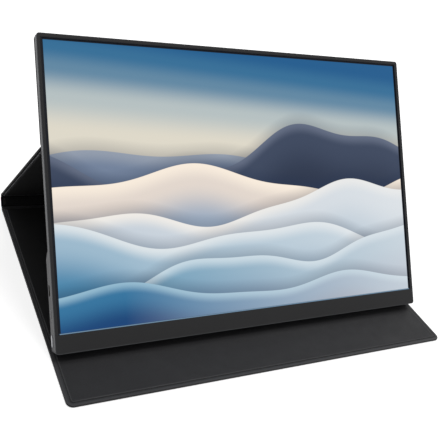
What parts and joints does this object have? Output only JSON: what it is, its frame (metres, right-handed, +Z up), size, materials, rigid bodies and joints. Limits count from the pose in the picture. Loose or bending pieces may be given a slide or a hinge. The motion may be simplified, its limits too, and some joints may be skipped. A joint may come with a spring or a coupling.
{
  "type": "portable monitor with cover",
  "caption": "Slim portable monitor standing tilted on a folding leather cover, with side sockets, a power button and a menu rocker.",
  "frame": {"origin": "middle of the front panel's underside, which lies on the desk", "axes": "+X to the right across the screen, +Y away from the viewer, +Z up"},
  "size_m": [0.3572, 0.2511, 0.1952],
  "materials": {
    "leather": "fine-grained synthetic leather, satin",
    "lining": "napped microfibre, matte",
    "card": "stiff board, raw",
    "magnet": "nickel plated",
    "casing": "fine matte moulding",
    "frame_metal": "dark anodised, satin",
    "bezel": "fine matte moulding",
    "screen": "anti-glare glass, lit",
    "film": "satin film",
    "acrylic": "clear",
    "lamp": "phosphor coated",
    "tray_steel": "pressed sheet",
    "foam": "foam tape",
    "circuit_board": "solder mask",
    "flex": "polyimide film",
    "chip": "moulded",
    "shield_steel": "pressed sheet",
    "screw_steel": "plated",
    "socket_steel": "plated",
    "socket_plastic": "moulded",
    "key_metal": "satin anodised",
    "switch": "moulded",
    "speaker": "moulded"
  },
  "bodies": {
    "front_panel": {"front_leather": "leather", "front_board": "card", "front_lining": "lining", "front_magnets": "magnet"},
    "spine": {"spine_leather": "leather", "spine_board": "card", "spine_lining": "lining"},
    "lower_panel": {"lower_leather": "leather", "lower_board": "card", "lower_lining": "lining"},
    "display": {"upper_leather": "leather", "upper_board": "card", "upper_lining": "lining", "upper_magnets": "magnet", "side_frame": "frame_metal", "front_bezel": "bezel", "rear_cover": "casing", "screen_glass": "screen", "diffuser_films": "film", "light_guide": "acrylic", "led_bar": "lamp", "reflector_sheet": "film", "screen_tray": "tray_steel", "tray_tapes": "foam", "driver_board": "circuit_board", "driver_flexes": "flex", "display_cable": "flex", "main_board": "circuit_board", "board_chips": "chip", "shield_can": "shield_steel", "board_screws": "screw_steel", "usb_shell_lower": "socket_steel", "usb_shell_upper": "socket_steel", "usb_tongue_lower": "socket_plastic", "usb_tongue_upper": "socket_plastic", "power_switch": "switch", "side_board": "circuit_board", "link_cable": "flex", "hdmi_shell": "socket_steel", "hdmi_tongue": "socket_plastic", "audio_jack": "socket_plastic", "menu_switches": "switch", "speaker_left": "speaker", "speaker_right": "speaker"},
    "power_button": {"power_button": "key_metal"},
    "menu_rocker": {"menu_rocker": "key_metal"}
  },
  "joints": [
    {"name": "spine_fold", "type": "hinge", "parent": "front_panel", "child": "spine", "pos_m": [0, 0.12125, 0.001], "axis": [-1, 0, 0], "range_deg": [0, 51]},
    {"name": "stand_fold", "type": "hinge", "parent": "spine", "child": "lower_panel", "pos_m": [0, 0.12899, 0.01056], "axis": [-1, 0, 0], "range_deg": [-9, 15]},
    {"name": "middle_fold", "type": "hinge", "parent": "lower_panel", "child": "display", "pos_m": [0, 0.02322, 0.12454], "axis": [-1, 0, 0], "range_deg": [-32.5, 19.5]},
    {"name": "power_press", "type": "slide", "parent": "display", "child": "power_button", "axis": [1, 0, 0], "range_m": [0, 0.00035], "stiffness_N_per_m": 2000, "springref_m": -0.0003},
    {"name": "menu_tip", "type": "hinge", "parent": "display", "child": "menu_rocker", "pos_m": [0.17445, -0.06125, 0.01795], "axis": [0, 0.7826, -0.6225], "range_deg": [-3, 3], "stiffness_Nm_per_rad": 0.1}
  ],
  "couplings": [
    {"joint": "middle_fold", "follows": "stand_fold", "ratio": -2.1423}
  ]
}
